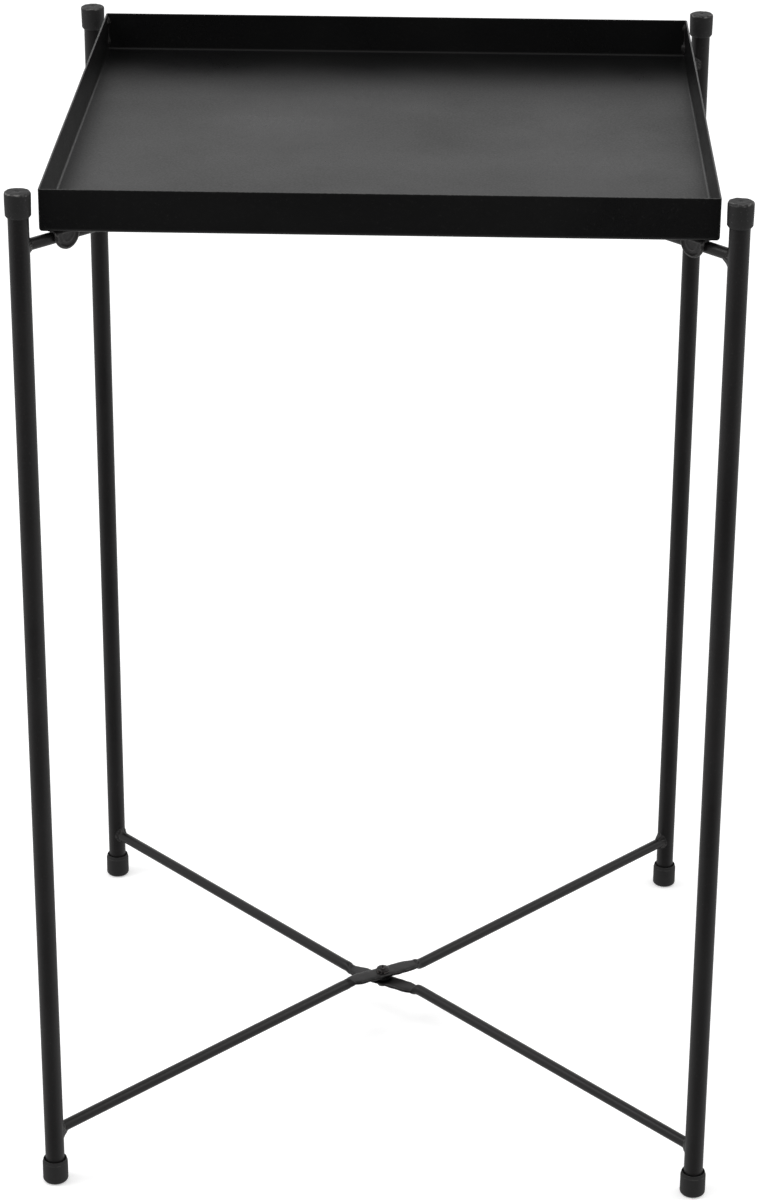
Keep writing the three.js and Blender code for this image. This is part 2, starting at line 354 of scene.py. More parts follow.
def coated(name, dark, light, worn_and_highlight, roughness, specular, grain, grain_depth,
           lump_depth=0.00003, wear_and_highlight=0.5, specks=0.1, has_painted_shade=False):
    """A black coating: broad and fine colour variation, a grain, a broad unevenness, and edges
    that are rubbed lighter, which is wear and, on caps and screws, also a painted highlight. One
    with painted shade is dark and dull where its mesh is marked so. Depths are in metres, and
    grain is in lumps per metre."""
    material, nodes, links, shader = new_material(name)
    broad = noise_node(nodes, links, 14.0, 3.0)
    fine = noise_node(nodes, links, grain, 2.0, 0.6)
    rub = noise_node(nodes, links, 420.0, 4.0, 0.65)
    speck = noise_node(nodes, links, 900.0, 1.0)

    edge = nodes.new("ShaderNodeAttribute")
    edge.attribute_name = "wear_and_highlight"
    patchy = ranged(nodes, links, rub, 0.42, 0.62, 0.0, wear_and_highlight)
    wear_and_highlight_share = multiplied(nodes, links, edge.outputs["Fac"], patchy)

    base = mixed(nodes, links, ranged(nodes, links, broad, 0.3, 0.7, 0.0, 1.0), dark, light)
    dusty = mixed(nodes, links, ranged(nodes, links, speck, 0.66, 0.8, 0.0, specks), base, worn_and_highlight)
    colour = mixed(nodes, links, wear_and_highlight_share, dusty, worn_and_highlight)
    shader.inputs["Specular IOR Level"].default_value = specular
    # Painted shade: where the mesh is marked, the colour turns dark and the specular level drops,
    # as shade between the flats.
    if has_painted_shade:
        painted_shade = nodes.new("ShaderNodeAttribute")
        painted_shade.attribute_name = "painted_shade"
        colour = mixed(nodes, links, painted_shade.outputs["Fac"], colour, PAINTED_SHADE)
        shine = ranged(nodes, links, painted_shade.outputs["Fac"], 0.0, 1.0, specular, PAINTED_SHADE_SPECULAR)
        links.new(shine, shader.inputs["Specular IOR Level"])
    links.new(colour, shader.inputs["Base Color"])

    uneven = ranged(nodes, links, broad, 0.25, 0.75, roughness - 0.04, roughness + 0.05)
    pitted = ranged(nodes, links, fine, 0.3, 0.7, -0.05, 0.05)
    total = nodes.new("ShaderNodeMath")
    links.new(uneven, total.inputs[0])
    links.new(pitted, total.inputs[1])
    links.new(total.outputs["Value"], shader.inputs["Roughness"])

    lumps = nodes.new("ShaderNodeBump")
    lumps.inputs["Strength"].default_value = 1.0
    lumps.inputs["Distance"].default_value = lump_depth
    links.new(noise_node(nodes, links, 160.0, 2.0), lumps.inputs["Height"])
    grains = nodes.new("ShaderNodeBump")
    grains.inputs["Strength"].default_value = 1.0
    grains.inputs["Distance"].default_value = grain_depth
    links.new(fine, grains.inputs["Height"])
    links.new(lumps.outputs["Normal"], grains.inputs["Normal"])
    links.new(grains.outputs["Normal"], shader.inputs["Normal"])
    return material


TRAY_COAT = coated("tray_coat", (0.0030, 0.0030, 0.0032), (0.0046, 0.0046, 0.0046),
                   (0.09, 0.088, 0.085), roughness=0.33, specular=0.19,
                   grain=800.0, grain_depth=0.00003, lump_depth=0.00003, wear_and_highlight=0.5, specks=0.08)
TAB_COAT = coated("tab_coat", (0.010, 0.0094, 0.0096), (0.0155, 0.0145, 0.0148),
                  (0.12, 0.114, 0.11), roughness=0.36, specular=0.4,
                  grain=900.0, grain_depth=0.00003, lump_depth=0.00006, wear_and_highlight=0.6, specks=0.2)
FRAME_LOOK = {
    "dark": (0.0080, 0.0074, 0.0076), "light": (0.0120, 0.0112, 0.0114),
    "worn_and_highlight": (0.09, 0.086, 0.084), "roughness": 0.36, "specular": 0.27,
    "grain": 800.0, "grain_depth": 0.00005, "lump_depth": 0.00006, "wear_and_highlight": 0.4, "specks": 0.14,
}
FRAME_COAT = coated("frame_coat", **FRAME_LOOK)
# The bars carry painted shade in the gap between the flats of each pivot.
BAR_COAT = coated("bar_coat", **FRAME_LOOK, has_painted_shade=True)
WELD_COAT = coated("weld_coat", (0.0066, 0.0061, 0.0063), (0.0120, 0.0113, 0.0114),
                   (0.10, 0.095, 0.09), roughness=0.33, specular=0.30,
                   grain=900.0, grain_depth=0.00003, lump_depth=0.00010, wear_and_highlight=0.5, specks=0.15)
# The caps' rubbed top edge is partly wear and partly a painted highlight: its pale worn colour
# stands in for the glints on the edge.
CAP_PLASTIC = coated("cap_plastic", (0.0125, 0.0122, 0.0125), (0.017, 0.0168, 0.017),
                     (0.36, 0.355, 0.345), roughness=0.55, specular=0.22,
                     grain=1900.0, grain_depth=0.000012, wear_and_highlight=0.85, specks=0.1)
FOOT_PLASTIC = coated("foot_plastic", (0.0125, 0.0122, 0.0125), (0.018, 0.0178, 0.018),
                      (0.1, 0.1, 0.096), roughness=0.55, specular=0.24,
                      grain=1900.0, grain_depth=0.000012, wear_and_highlight=0.5, specks=0.1)
# The screw's rubbed edges, at the rim of its head and round the recess, are partly wear and
# partly a painted highlight: the pale worn colour stands in for two glints on the recess.
SCREW_STEEL = coated("screw_steel", (0.0070, 0.0056, 0.0056), (0.0110, 0.0090, 0.0090),
                     (0.36, 0.33, 0.32), roughness=0.27, specular=0.26,
                     grain=1600.0, grain_depth=0.00001, wear_and_highlight=0.9, specks=0.1)
WASHER_PLASTIC = coated("washer_plastic", (0.0022, 0.0022, 0.0023), (0.0034, 0.0034, 0.0035),
                        (0.03, 0.03, 0.03), roughness=0.6, specular=0.1,
                        grain=1900.0, grain_depth=0.00001, wear_and_highlight=0.4, specks=0.05)


# ------------------------------------------------------------------ legs, caps and feet

SEAM_FROM_INWARD = math.radians(35)
CUP_BORE = LEG_RADIUS + 0.05
CAP_WEAR_AND_HIGHLIGHT_DEPTH = 4.0        # how far down a cap its wear and painted highlight go


def leg_tube(low, high, seam):
    """A tube with eased ends and, at the angle seam, the faint flat of its rolled seam."""
    ease = 0.25
    bore = LEG_RADIUS - LEG_WALL
    seam_depth, seam_width = 0.05, 0.7
    uneven, uneven_over = 0.02, 35.0
    steps = 30
    heights = [lerp(low + ease, high - ease, i / steps) for i in range(steps + 1)]
    outside = ([(LEG_RADIUS - ease, low)] + [(LEG_RADIUS, z) for z in heights]
               + [(LEG_RADIUS - ease, high)])
    profile = outside + [(bore + ease, high), (bore, high - ease), (bore, low + ease),
                         (bore + ease, low)]
    rings = []
    for step in range(LEG_SIDES):
        angle = 2 * math.pi * step / LEG_SIDES
        away = math.remainder(angle - seam, 2 * math.pi) * LEG_RADIUS
        flat = seam_depth * math.exp(-(away / seam_width) ** 2)
        ring = []
        for radius, z in profile:
            if radius > bore + LEG_WALL / 2:
                radius += uneven * wobble((away, 0, z), uneven_over) - flat
            ring.append((radius * math.cos(angle), radius * math.sin(angle), z))
        rings.append(ring)
    return skin(rings, closed=True)


def add_legs():
    for corner, (name, _side, _end) in CORNERS.items():
        low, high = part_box(f"leg_{corner}")
        centre = middle(f"leg_{corner}")
        inward = math.atan2(-centre.y, -centre.x)
        shape = leg_tube(low.z / MM, high.z / MM, inward + SEAM_FROM_INWARD)
        obj = make_object(corner, shape, Matrix.Translation((centre.x, centre.y, 0)))
        piece(f"leg_{corner}", obj, FRAME_COAT, f"frame_{name}")


def cup(profile, seed, rough, rough_height):
    """A turned plastic cup that is a little uneven round its edge at one height."""
    points, faces = turned(profile, LEG_SIDES)
    spread = 1.2
    about = 7.0
    moved = []
    for x, y, z in points:
        amount = rough * math.exp(-((z - rough_height) / spread) ** 2)
        push = 1 + amount * wobble((x, y, z), 2.6, seed) / about
        moved.append((x * push, y * push, z + amount * wobble((y, x, z), 3.1, seed)))
    return moved, faces


def cap_profile(radius, height):
    """Mouth down, its top at height 0. A gate mark is sunk in the middle of the top."""
    round_edge = 1.5
    chamfer = 1.3
    lid = 1.8
    gate = 0.25
    top = [(0, -gate), (0.9, -gate), (1.3, 0.0), (3.5, 0.03), (radius - round_edge, 0.0)]
    edge = arc(radius - round_edge, -round_edge, round_edge, 84, 4, 10)
    wall = [(radius - 0.05, -height * 0.45), (radius - 0.2, chamfer - height),
            (radius - 0.45, chamfer - height - 0.35), (CUP_BORE + 0.45, -height + 0.1),
            (CUP_BORE + 0.25, -height)]
    inside = [(CUP_BORE, -height + 0.3), (CUP_BORE, -lid), (0, -lid)]
    return top + edge + wall + inside


def foot_profile(radius, height):
    """Mouth up, its base at height 0. The mouth tapers in, and stands off the leg a little."""
    taper = 2.1
    mouth = radius - 0.75
    mouth_depth = 3.0
    round_edge = 2.3
    sole = 3.0
    gate = 0.4
    base = [(0, gate), (2.2, gate), (2.6, 0.0), (radius - round_edge - 0.1, 0.0)]
    edge = arc(radius - round_edge, round_edge, round_edge, 276, 356, 12)
    wall = [(radius - 0.02, 3.4), (radius - 0.05, height - taper - 0.3),
            (radius - 0.1, height - taper), (radius - 0.25, height - taper + 0.25)]
    rim = [(mouth + 0.12, height - 0.2), (mouth, height), (mouth - 0.3, height),
           (mouth - 0.4, height - 0.15)]
    inside = [(mouth - 0.45, height - mouth_depth + 0.4), (CUP_BORE, height - mouth_depth),
              (CUP_BORE, sole), (0, sole)]
    return base + edge + wall + rim + inside


def add_caps_and_feet():
    for seed, (corner, (name, _side, _end)) in enumerate(CORNERS.items()):
        body = f"frame_{name}"
        centre = middle(f"cap_{corner}")
        half = reach(f"cap_{corner}")
        shape = cup(cap_profile(half.x, 2 * half.z), seed + 3.3, 0.3, -0.6)
        top = centre.z + half.z - 0.03
        obj = make_object(corner, shape, Matrix.Translation((centre.x, centre.y, top)))
        piece(f"cap_{corner}", obj, CAP_PLASTIC, body)
        # Keeps the pale rubbed edge, which is wear and painted highlight, to the top of the cap.
        clear_wear_and_highlight(obj.data, lambda point: point.z < top - CAP_WEAR_AND_HIGHLIGHT_DEPTH)

        centre = middle(f"foot_{corner}")
        half = reach(f"foot_{corner}")
        shape = cup(foot_profile(half.x, 2 * half.z), seed + 9.1, 0.06, 2.4)
        obj = make_object(corner, shape, Matrix.Translation((centre.x, centre.y, 0)))
        piece(f"foot_{corner}", obj, FOOT_PLASTIC, body)


# ------------------------------------------------------------------ crossbars

ROD_UNEVEN, FLAT_UNEVEN = 0.03, 0.1
SLANTS = {"a": (-0.45, 0.1), "b": (0.2, 0.45)}
PAINTED_SHADE_FULL, PAINTED_SHADE_NONE = 5.5, 9.5       # distance from the pivot axis at which the painted shade between the flats is full, and none


def bar_path(side):
    """Points along a bar's centre line in plan, from one leg to the other, close together at
    the bends."""
    def bend(end):
        return Vector((end * BEND_REACH, -side * end * NEST_OFFSET, 0))

    def outer(end):
        return bend(end) + Vector((end * BEND_ROUND, 0, 0))

    def inner(end):
        return bend(end) * (1 - BEND_ROUND / bend(end).length)

    def curve(one, two, three):
        steps = 24
        shares = [i / steps for i in range(1, steps)]
        return [one.lerp(two, s).lerp(two.lerp(three, s), s) for s in shares]

    bar_end = HALF_BAR - LEG_RADIUS + 0.5 * LEG_WALL
    tips = [Vector((end * bar_end, -side * end * NEST_OFFSET, 0)) for end in (-1, 1)]
    return [tips[0], outer(-1), *curve(outer(-1), bend(-1), inner(-1)), inner(-1),
            inner(1), *curve(inner(1), bend(1), outer(1)), outer(1), tips[1]]


def along(path, distances):
    """The point and the direction at each distance from the path's middle, and the path's half
    length."""
    lengths = [0.0]
    for one, two in zip(path, path[1:]):
        lengths.append(lengths[-1] + (two - one).length)
    half = lengths[-1] / 2
    found = []
    for distance in distances:
        place = min(max(distance + half, 0.0), lengths[-1])
        step = next((i for i in range(1, len(lengths)) if lengths[i] >= place),
                    len(lengths) - 1)
        share = (place - lengths[step - 1]) / (lengths[step] - lengths[step - 1])
        ahead = path[min(step + 1, len(path) - 1)] - path[max(step - 2, 0)]
        found.append((path[step - 1].lerp(path[step], share), ahead.normalized()))
    return found, half


def power(value, exponent):
    """A power of the value's size, with its sign kept."""
    return math.copysign(abs(value) ** exponent, value)


def crossbar(side, lift, slants, seed):
    """A rod pressed flat at its middle, and set up or down there by lift. slants says how far
    each shoulder of the flat runs askew."""
    path = bar_path(side)
    half = along(path, [0.0])[1]
    near = FLAT_HALF + FLAT_RUN_OUT + 7     # a little past the bend
    spacing = 0.5
    fine = [i * spacing for i in range(1, int(near / spacing))]
    coarse = [lerp(near, half, i / 18) for i in range(19)]
    distances = [-d for d in reversed(fine + coarse)] + [0.0] + fine + coarse

    rings = []
    for distance, (centre, ahead) in zip(distances, along(path, distances)[0]):
        across = Vector((-ahead.y, ahead.x, 0))
        out = abs(distance)
        wide = 1 - smoothstep(FLAT_WIDE_HALF, FLAT_HALF + FLAT_RUN_OUT, out)
        level = 1 - smoothstep(FLAT_HALF - 1, FLAT_HALF + FLAT_RUN_OUT, out)
        width = lerp(BAR_RADIUS, FLAT_WIDTH / 2, wide)
        ring = []
        for step in range(BAR_SIDES):
            angle = 2 * math.pi * (step + 0.5) / BAR_SIDES
            askew = slants[0 if distance < 0 else 1] * width * math.cos(angle)
            pressed = 1 - smoothstep(FLAT_HALF, FLAT_HALF + PRESS_STEP, out + askew)
            bent = 2 / lerp(2.0, FLAT_SQUARENESS, pressed)
            height = lerp(BAR_RADIUS, FLAT_THICKNESS / 2, pressed)
            sideways = width * power(math.cos(angle), bent)
            up = height * power(math.sin(angle), bent)
            rough = lerp(ROD_UNEVEN, FLAT_UNEVEN, pressed)
            grow = 1 + rough * wobble((distance, sideways, up), 4.5, seed) / height
            ring.append(centre + across * sideways * grow
                        + Vector((0, 0, up * grow + lift * level)))
        rings.append(ring)
    return skin(rings)


def between_flats(point, level):
    """From 0 to 1, how far a point lies in the gap between the two flats of a pivot, as the
    amount of painted shade there.
    """
    near = smoothstep(PAINTED_SHADE_NONE, PAINTED_SHADE_FULL, math.hypot(point.x, point.y))
    from_gap = abs(point.z - flats_middle(level)) - FLAT_SPACE[level] / 2
    facing = smoothstep(FLAT_THICKNESS * 0.9, FLAT_THICKNESS * 0.6, from_gap + 1)
    return near * facing


def add_crossbars():
    for name, side in (("a", 1), ("b", -1)):
        for seed, level in enumerate(LEVELS):
            height = bar_height(name, level)
            flat = flats_middle(level) + side * (FLAT_THICKNESS + FLAT_SPACE[level]) / 2
            shape = crossbar(side, flat - height, SLANTS[name], seed + 5 * side)
            place = Matrix.Translation((0, 0, height)) @ frame_matrix(side)
            node = f"crossbar_{name}_{level}"
            bar = piece(node, make_object(node, shape, place), BAR_COAT,
                        f"frame_{name}")
            # Paints shade into the gap between the flats, where the upper flat shadows the lower.
            mark_painted_shade(bar.data, lambda point: between_flats(point, level))


# ------------------------------------------------------------------ welds

WELD_STEPS = 108
WELD_ROWS = 12
ABOVE, BELOW = math.pi / 2, -math.pi / 2
# Where the metal of each weld lies thickest: extra height on the leg, extra length along the
# bar, and on which side of the bar.
WELD_BUILD_UP = {
    "front_right_upper": (2.4, 4.2, BELOW),
    "front_left_lower": (2.4, 3.4, BELOW),
    "front_left_upper": (0.5, 0.5, BELOW),
    "front_right_lower": (1.4, 0.9, BELOW),
    "back_left_lower": (2.0, 2.2, ABOVE),
    "back_right_lower": (2.6, 3.0, ABOVE),
    "back_left_upper": (1.4, 1.0, BELOW),
    "back_right_upper": (0.3, 0.3, BELOW),
}


def weld_bead(height, stretch, heavy_side, seed):
    """A fillet of weld round the end of a bar. The leg stands at the origin and the bar runs
    along -X."""
    chance = random.Random(seed)
    ripples = chance.randint(15, 19)
    lean = chance.uniform(-0.4, 0.4)
    widest = LEG_RADIUS - 0.35
    least_climb, least_length = 1.3, 1.6
    sink = 0.4

    def on_leg(y):
        return -math.sqrt(LEG_RADIUS ** 2 - min(abs(y), widest) ** 2)

    rings = []
    for step in range(WELD_STEPS):
        angle = 2 * math.pi * step / WELD_STEPS
        side, up = math.cos(angle), math.sin(angle)
        # From 0 on the thin side to 1 where the metal lies thickest.
        heavy = max(0.0, math.cos(angle - heavy_side + lean)) ** 1.6
        rough = wobble((side * 2, up * 2, seed), 1.0, seed)
        climb = least_climb + 0.5 * rough + height * heavy
        uneven = 0.6 * wobble((up * 2, side * 2, seed), 1.0, seed + 4)
        length = least_length + uneven + stretch * heavy
        hollow = lerp(0.35, 0.75, heavy)
        # Each ring runs from the toe on the leg to the toe on the bar, bulging or hollow.
        ring = []
        for row in range(WELD_ROWS + 1):
            turn = math.pi / 2 * row / WELD_ROWS
            sunk = lerp(math.cos(turn), 1 - math.sin(turn), hollow)
            away = lerp(math.sin(turn), 1 - math.cos(turn), hollow)
            window = math.sin(math.pi * row / WELD_ROWS)
            ridge = math.cos(ripples * angle + 18.0 * (row / WELD_ROWS - 0.4) ** 2)
            lump = (0.22 * wobble((side * 3, up * 3, away * 2), 1.0, seed)
                    + 0.12 * wobble((side * 7, up * 7, away * 5), 1.0, seed))
            swell = window * (0.13 * ridge + lump)
            radius = BAR_RADIUS + climb * sunk + swell
            y = max(-widest, min(widest, radius * side))
            ring.append((on_leg(y) - length * away - swell * 0.6, y, radius * up))
        # Both toes are sunk a little into the leg and the bar.
        y = max(-widest, min(widest, (BAR_RADIUS + climb) * side))
        ring[0] = (on_leg(y) + 0.3, y, (BAR_RADIUS + climb) * up)
        sunk_radius = BAR_RADIUS - sink
        ring[-1] = (ring[-1][0], sunk_radius * side, sunk_radius * up)
        ring.append((on_leg(sunk_radius * side) + 0.5, sunk_radius * side, sunk_radius * up))
        rings.append(ring)
    return skin(rings, closed=True)


def add_welds():
    for index, (corner, (name, side, end)) in enumerate(CORNERS.items()):
        for level in LEVELS:
            build_up = WELD_BUILD_UP[f"{corner}_{level}"]
            shape = weld_bead(*build_up, 11 + 7 * index + (level == "lower"))
            local = Matrix.Translation((end * HALF_BAR, -side * end * NEST_OFFSET,
                                        bar_height(name, level)))
            if end < 0:
                local = local @ Matrix.Rotation(math.pi, 4, "Z")
            node = f"weld_{corner}_{level}"
            obj = make_object(node, shape, frame_matrix(side) @ local)
            piece(node, obj, WELD_COAT, f"frame_{name}")


# ------------------------------------------------------------------ pivots

SHANK_RADIUS = 2.0
PIVOT_SIDES = 72


def pan_head(base, end):
    """A pan-headed screw about Z: its head stands on base and its tip is at end."""
    rim = 1.1
    crown = HEAD_HEIGHT - rim
    pitch = 0.7
    depth = 0.25
    head = [(SHANK_RADIUS + 0.1, base), (HEAD_RADIUS - 0.15, base), (HEAD_RADIUS, base + 0.15)]
    for step in range(12):
        angle = math.pi / 2 * step / 12
        head.append((HEAD_RADIUS * math.cos(angle) ** 0.75, base + rim
                     + crown * math.sin(angle) ** 0.9))
    thread = []
    z = end + depth
    while z + pitch < base:
        thread += [(SHANK_RADIUS - depth, z), (SHANK_RADIUS, z + 0.3), (SHANK_RADIUS, z + 0.36)]
        z += pitch
    tip = [(0, end), (SHANK_RADIUS - 0.4, end)]
    neck = [(SHANK_RADIUS, base - 0.1)]
    return turned(tip + thread + neck + head + [(0, base + HEAD_HEIGHT)], PIVOT_SIDES)


def cross_recess(top):
    """A tapered cross, as the driver's recess."""
    sections = ((top + 0.5, 2.62, 0.62), (top - 0.5, 2.3, 0.55), (top - 1.9, 1.15, 0.36))
    rings = []
    for z, length, width in sections:
        outline = []
        for quarter in range(4):
            turn = Matrix.Rotation(math.pi / 2 * quarter, 3, "Z")
            for x, y in ((width, width), (width, length), (-width, length)):
                outline.append(turn @ Vector((x, y, z)))
        rings.append(outline)
    return skin(list(reversed(rings)))


def chamfered_nut(low, high):
    """A thin hexagon nut about Z with its corners turned off and its hole eased."""
    sides = 96
    flat = NUT_ACROSS / 2
    hole = 2.05
    ease = 0.35
    levels = [low, low + ease * 0.4, low + ease, high - ease, high - ease * 0.4, high]
    rings = []
    for step in range(sides):
        angle = 2 * math.pi * (step + 0.5) / sides
        off_corner = (angle + math.pi / 6) % (math.pi / 3) - math.pi / 6
        hexagon = flat / math.cos(off_corner)
        ring = []
        for z in levels:
            cone = flat * 0.96 + 1.75 * min(z - low, high - z)
            radius = min(hexagon, cone)
            ring.append((radius * math.cos(angle), radius * math.sin(angle), z))
        for radius, z in ((hole + 0.25, high), (hole, high - 0.25), (hole, low + 0.25),
                          (hole + 0.25, low)):
            ring.append((radius * math.cos(angle), radius * math.sin(angle), z))
        rings.append(ring)
    return skin(rings, closed=True)


def add_pivots():
    for level, twist in (("upper", 0.9), ("lower", 0.12)):
        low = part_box(f"pivot_screw_{level}")[0].z / MM
        half_stack = FLAT_SPACE[level] / 2 + FLAT_THICKNESS
        base = flats_middle(level) + half_stack + SEAT
        turn = Matrix.Rotation(twist, 4, "Z")
        screw = make_object(level, pan_head(base, low), turn)
        carve(screw, make_object("recess", cross_recess(base + HEAD_HEIGHT), turn))
        piece(f"pivot_screw_{level}", screw, SCREW_STEEL, "pivot_hardware")

        bottom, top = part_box(f"pivot_nut_{level}")
        nut = chamfered_nut(bottom.z / MM, top.z / MM + TOUCH - SEAT)
        turn = Matrix.Rotation(math.pi / 6, 4, "Z")
        piece(f"pivot_nut_{level}", make_object(level, nut, turn), SCREW_STEEL,
              "pivot_hardware")

    centre = middle("pivot_washer_lower")
    half = reach("pivot_washer_lower")
    thick = half.z + TOUCH - SEAT
    bore = SHANK_RADIUS + 0.1
    ease = 0.3
    profile = [(bore, -thick), (half.x - ease, -thick), (half.x, ease - thick),
               (half.x, thick - ease), (half.x - ease, thick), (bore, thick)]
    shape = turned(profile, PIVOT_SIDES)
    washer = make_object("washer", shape, Matrix.Translation((0, 0, centre.z)))
    piece("pivot_washer_lower", washer, WASHER_PLASTIC, "pivot_hardware")


# ------------------------------------------------------------------ tray

def square_ring(half, z, corner):
    """A rounded square, anticlockwise, with points along its sides for their unevenness."""
    flat = half - corner
    steps = 48
    ring = []
    for quarter in range(4):
        turn = Matrix.Rotation(math.pi / 2 * quarter, 3, "Z")
        side = [(half, lerp(-flat, flat, i / steps)) for i in range(1, steps)]
        bend = arc(flat, flat, corner, 0, 90, 6)
        ring += [turn @ Vector((x, y, z)) for x, y in side + bend]
    return ring


def tray_sheet(half, low, high):
    """The floor and the four walls, folded from one sheet, with eased edges round the rim."""
    ease = 0.3
    bow_depth, sag_depth = 0.22, 0.16
    inside = half - SHEET
    outer = arc(half - OUTER_BEND, low + OUTER_BEND, OUTER_BEND, 270, 360, 10)
    wall = [lerp(low + OUTER_BEND + 1, high - 1.5, i / 6) for i in range(7)]
    rim = (arc(half - ease, high - ease, ease, 0, 90, 4)
           + arc(inside + ease, high - ease, ease, 90, 180, 4))
    inner = arc(half - OUTER_BEND, low + OUTER_BEND, INNER_BEND, 360, 270, 8)
    floor = [half * share for share in (0.93, 0.8, 0.6, 0.4, 0.2, 0.05)]
    path = ([(out, low) for out in reversed(floor)] + outer + [(half, z) for z in wall]
            + rim + [(inside, z) for z in reversed(wall)] + inner
            + [(out, low + SHEET) for out in floor])

    rings = []
    for out, z in path:
        corner = max(TRAY_CORNER - (half - out), LEAST_CORNER)
        ring = []
        for point in square_ring(out, z, corner):
            x, y, _ = point
            side = max(abs(x), abs(y))
            on_wall = smoothstep(half - 12, half - 2, side)
            bow = bow_depth * wobble((x, y, 0), 110.0, 2.0) * smoothstep(low, high, z) * on_wall
            sag = sag_depth * wobble((x, y, 0), 150.0, 7.0) * (1 - on_wall)
            push = 1 + bow / half
            ring.append(Vector((x * push, y * push, z + sag)))
        rings.append(ring)
    return skin(rings)


# How far the weld in each inside corner of the tray is built up, near the rim and at the foot.
CORNER_WELDS = {
    "front_left": (1.6, 1.0),
    "front_right": (1.2, 1.2),
    "back_left": (2.5, 1.3),
    "back_right": (1.3, 1.6),
}


def corner_fillet(low, high, upper, lower, seed):
    """The weld up the inside of a corner of the tray, with the corner at the origin and the
    walls along -X and -Y."""
    rows = 60
    rings = []
    for row in range(rows + 1):
        share = row / rows
        z = lerp(low, high, share)
        # One lump of metal near the rim and one near the foot.
        lump = (upper * math.exp(-((share - 0.80) / 0.10) ** 2)
                + lower * math.exp(-((share - 0.22) / 0.13) ** 2))
        taper = min(1.0, 10 * min(share, 1 - share) + 0.1)
        rough = 0.35 * wobble((0, 0, z), 1.7, seed) + 0.1 * math.cos(z * 5.0)
        size = (0.7 + 0.55 * lump + rough * (0.5 + 0.4 * lump)) * taper
        spread = (0.7 + 1.15 * lump + rough) * taper
        ring = [(0.3, 0.3, z), (-spread, 0.3, z)]
        for step in range(1, 12):
            angle = math.pi / 2 * step / 12
            bulge = 0.2 * lump * math.sin(2 * angle)
            ring.append((-spread * (1 - math.sin(angle)) - 0.02 - bulge,
                         -size * (1 - math.cos(angle)) - 0.02 - bulge, z))
        ring.append((0.3, -size, z))
        rings.append(ring)
    return skin(rings)


def add_tray():
    low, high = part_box("tray_pan")
    half = high.x / MM
    bottom, top = low.z / MM, high.z / MM
    tray = make_object("tray", tray_sheet(half, bottom, top))
    piece("tray_pan", tray, TRAY_COAT, "tray")

    for index, corner in enumerate(CORNERS):
        centre = middle(f"leg_{corner}")
        sign = Vector((math.copysign(1, centre.x), math.copysign(1, centre.y)))
        inside = half - SHEET
        # Turned so that the corner's two walls lie along -X and -Y.
        quarter = {(1, 1): 0, (-1, 1): 1, (-1, -1): 2, (1, -1): 3}[(int(sign.x), int(sign.y))]
        place = (Matrix.Translation((sign.x * inside, sign.y * inside, 0))
                 @ Matrix.Rotation(math.pi / 2 * quarter, 4, "Z"))
        shape = corner_fillet(bottom + SHEET + 0.2, top - 0.9, *CORNER_WELDS[corner],
                              index + 1.5)
        piece(f"tray_corner_{corner}", make_object(corner, shape, place), WELD_COAT,
              "tray", nodes=[])


def lug_relief(across, z):
    """How far the lug's outer face stands out: a rounded bead pressed along its outline, and
    a shallow hollow inside it."""
    below = max(0.0, TAB_SHOULDER - z) / (TAB_SHOULDER + TAB_DROP)
    out = math.hypot(across / (TAB_LENGTH / 2), below)
    inward = (1 - out) * TAB_LENGTH / 2
    bead = 0.5 * math.exp(-((inward - 1.1) / 0.6) ** 2)
    hollow = 0.3 * smoothstep(1.6, 3.0, inward)
    ridge = 0.3 * math.exp(-((inward - 4.2) / 0.5) ** 2)
    return (bead + ridge - hollow) * smoothstep(TAB_SHOULDER + 2.2, TAB_SHOULDER + 0.8, z)


def tray_tab(top, seed):
    """An angle tab. The bar's axis is the Y axis; the flange lies over it towards +X and the
    half-round lug hangs on the -X side."""
    # The middle of the sheet is followed as (x, z, heading in degrees).
    bend = TAB_BEND - TAB_THICKNESS / 2
    back = TAB_BACK - TAB_THICKNESS / 2
    level = top - TAB_THICKNESS / 2
    flange = [(lerp(TAB_MOUTH, bend - back, i / 6), level, 180) for i in range(7)]
    corner = [(x, z, 180 + 90 * (i + 1) / 8) for i, (x, z) in enumerate(
        arc(bend - back, level - bend, bend, 90, 180, 8)[1:])]
    lowest = -TAB_DROP
    start = level - bend
    depths = [math.sin(math.pi / 2 * i / 30) for i in range(1, 31)]
    lug = [(-back, lerp(start, lowest + 0.1, depth), 270) for depth in depths]

    rings = []
    for x, z, heading in flange + corner + lug:
        below = max(0.0, TAB_SHOULDER - z) / (TAB_SHOULDER + TAB_DROP)
        half_width = max(TAB_LENGTH / 2 * math.sqrt(max(0.0, 1 - below ** 2)), 0.6)
        ease = min(0.5, half_width * 0.5)
        half_thick = TAB_THICKNESS / 2
        turn = math.radians(heading)
        normal = Vector((-math.sin(turn), 0, math.cos(turn)))
        flat = half_width - ease
        outline = (arc(flat, half_thick - ease, ease, 0, 90, 4)
                   + [(lerp(flat, -flat, i / 24), half_thick) for i in range(1, 24)]
                   + arc(-flat, half_thick - ease, ease, 90, 180, 4)
                   + arc(-flat, ease - half_thick, ease, 180, 270, 4)
                   + [(lerp(-flat, flat, i / 24), -half_thick) for i in range(1, 24)]
                   + arc(flat, ease - half_thick, ease, 270, 360, 4))
        ring = []
        for across, thick in outline:
            if thick < 0 and heading == 270:
                thick -= lug_relief(across, z)
            dent = (0.08 * wobble((across, z * 1.3, 0), 4.0, seed)
                    + 0.05 * wobble((across, z, 9), 1.3, seed))
            ring.append(Vector((x, across, z)) + normal * (thick + dent))
        rings.append(ring)
    return skin(rings)


